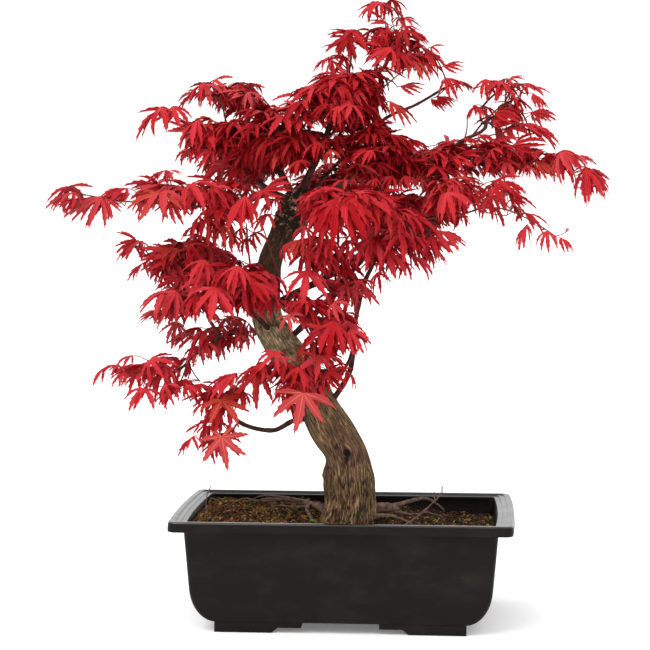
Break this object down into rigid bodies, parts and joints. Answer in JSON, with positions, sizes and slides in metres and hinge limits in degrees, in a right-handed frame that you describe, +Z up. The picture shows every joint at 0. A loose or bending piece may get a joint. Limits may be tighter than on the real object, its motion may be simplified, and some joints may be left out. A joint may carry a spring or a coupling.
{
  "type": "japanese maple bonsai in a rectangular pot",
  "caption": "Miniature red-leaved maple tree with a leaning, curved trunk and layered tiers of lobed leaves, growing in soil in a shallow rectangular dark pot on low feet",
  "frame": {"origin": "on the ground under the middle of the tree's bounding box", "axes": "+Z up the tree; -Y is the pot's long front side, which faces the viewer; +X is to the viewer's right"},
  "size_m": [0.4736, 0.2701, 0.5201],
  "materials": {
    "pot": "satin dark brown moulded plastic",
    "soil": "damp granular soil with moss and litter",
    "trunk_bark": "rough fissured bark",
    "bough_bark": "smooth dark bark",
    "foliage": "matt red leaves"
  },
  "bodies": {
    "root": {"pot": "pot", "soil": "soil", "trunk": "trunk_bark", "bough_low_left": "bough_bark", "bough_low_right": "bough_bark", "bough_mid_left": "bough_bark", "bough_right_main": "bough_bark", "bough_right_low": "bough_bark", "bough_left_arm": "bough_bark", "bough_upper_left": "bough_bark", "bough_top": "bough_bark", "bough_upper_right": "bough_bark", "bough_right_arm": "bough_bark", "bough_back_left": "bough_bark", "bough_back_right": "bough_bark", "leaves_lower_left_tip": "foliage", "leaves_lower_left_mid": "foliage", "leaves_lower_left_hanging": "foliage", "leaves_lower_left_inner": "foliage", "leaves_trunk_front": "foliage", "leaves_trunk_front_left": "foliage", "leaves_trunk_front_right": "foliage", "leaves_left_tip": "foliage", "leaves_left_outer": "foliage", "leaves_left_under": "foliage", "leaves_left_inner": "foliage", "leaves_left_below": "foliage", "leaves_left_arm_tip": "foliage", "leaves_left_arm_mid": "foliage", "leaves_left_arm_inner": "foliage", "leaves_upper_left_tip": "foliage", "leaves_upper_left_top": "foliage", "leaves_upper_left_outer": "foliage", "leaves_apex": "foliage", "leaves_apex_left": "foliage", "leaves_apex_right": "foliage", "leaves_apex_spray": "foliage", "leaves_apex_inner": "foliage", "leaves_upper_right": "foliage", "leaves_right_arm_tip": "foliage", "leaves_right_arm_outer": "foliage", "leaves_right_arm_inner": "foliage", "leaves_lower_right_tip": "foliage", "leaves_lower_right_outer": "foliage", "leaves_lower_right_inner": "foliage", "leaves_front_centre": "foliage", "leaves_lower_right_under": "foliage", "leaves_right_hanging_lower": "foliage", "leaves_right_hanging_upper": "foliage", "leaves_right_hanging_inner": "foliage", "leaves_front_under": "foliage", "leaves_front_right": "foliage", "leaves_back_top": "foliage", "leaves_back_left_top": "foliage", "leaves_back_left": "foliage", "leaves_back_right_top": "foliage", "leaves_back_right": "foliage", "leaves_back_middle": "foliage", "leaves_heart_right": "foliage", "leaves_upper_left_inner": "foliage"}
  },
  "joints": []
}
